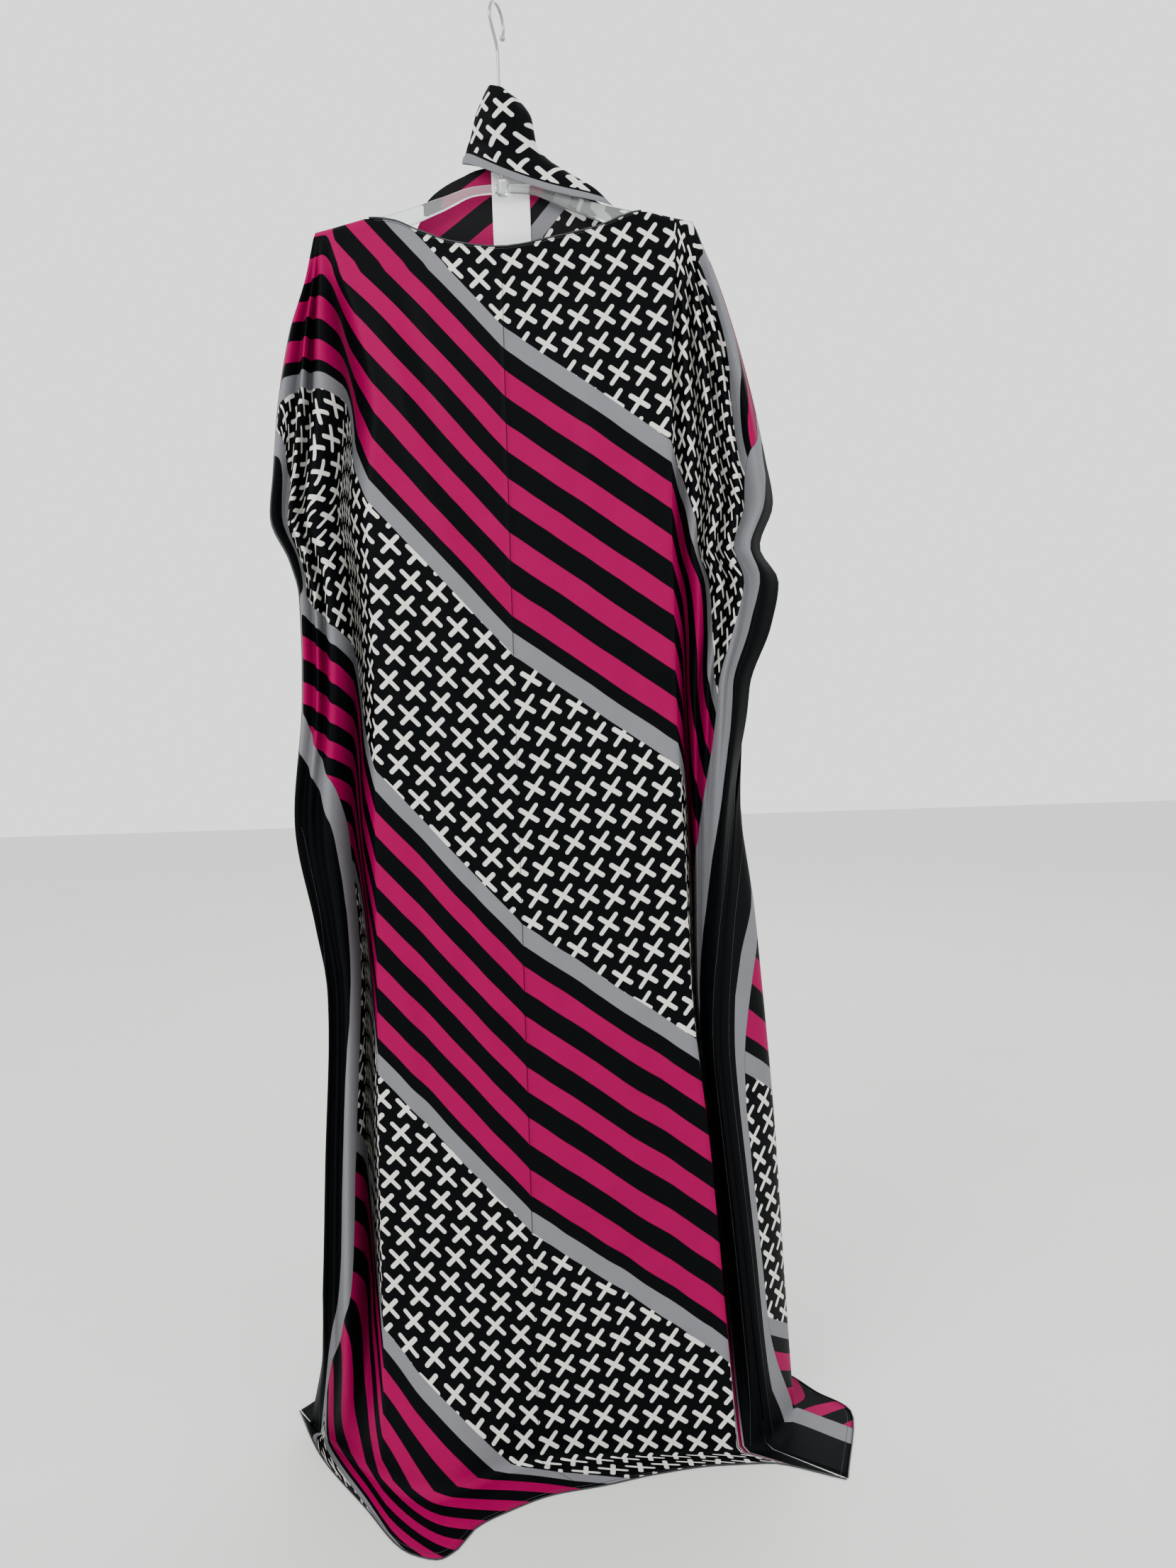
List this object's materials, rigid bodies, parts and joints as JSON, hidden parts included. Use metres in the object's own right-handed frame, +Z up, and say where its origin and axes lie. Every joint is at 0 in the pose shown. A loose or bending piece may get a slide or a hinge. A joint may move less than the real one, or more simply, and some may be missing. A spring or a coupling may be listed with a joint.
{
  "type": "batwing kaftan dress on a hanger",
  "caption": "Full-length batwing kaftan in printed sheer cloth, hanging on a clear hanger by its wire hook, its wings folded at the sides and its hem spread on the floor.",
  "frame": {"origin": "top of the inside of the hanger's hook, where it rests on a rail", "axes": "+Z up, +X towards the viewer's right across the dress, +Y from the front of the dress to its back"},
  "size_m": [0.6924, 0.3286, 1.6635],
  "materials": {
    "printed_cloth_front": "satin",
    "printed_cloth_back": "satin",
    "black_edge": "satin",
    "drape_cloth": "satin",
    "label_cloth": "satin",
    "clear_plastic": "gloss",
    "hook_wire": "polished"
  },
  "bodies": {
    "root": {"front_panel": "printed_cloth_front", "back_panel": "printed_cloth_back", "neck_edge": "black_edge", "neck_drape": "drape_cloth", "label": "label_cloth", "hanger_body": "clear_plastic", "hanger_hook": "hook_wire"}
  },
  "joints": []
}
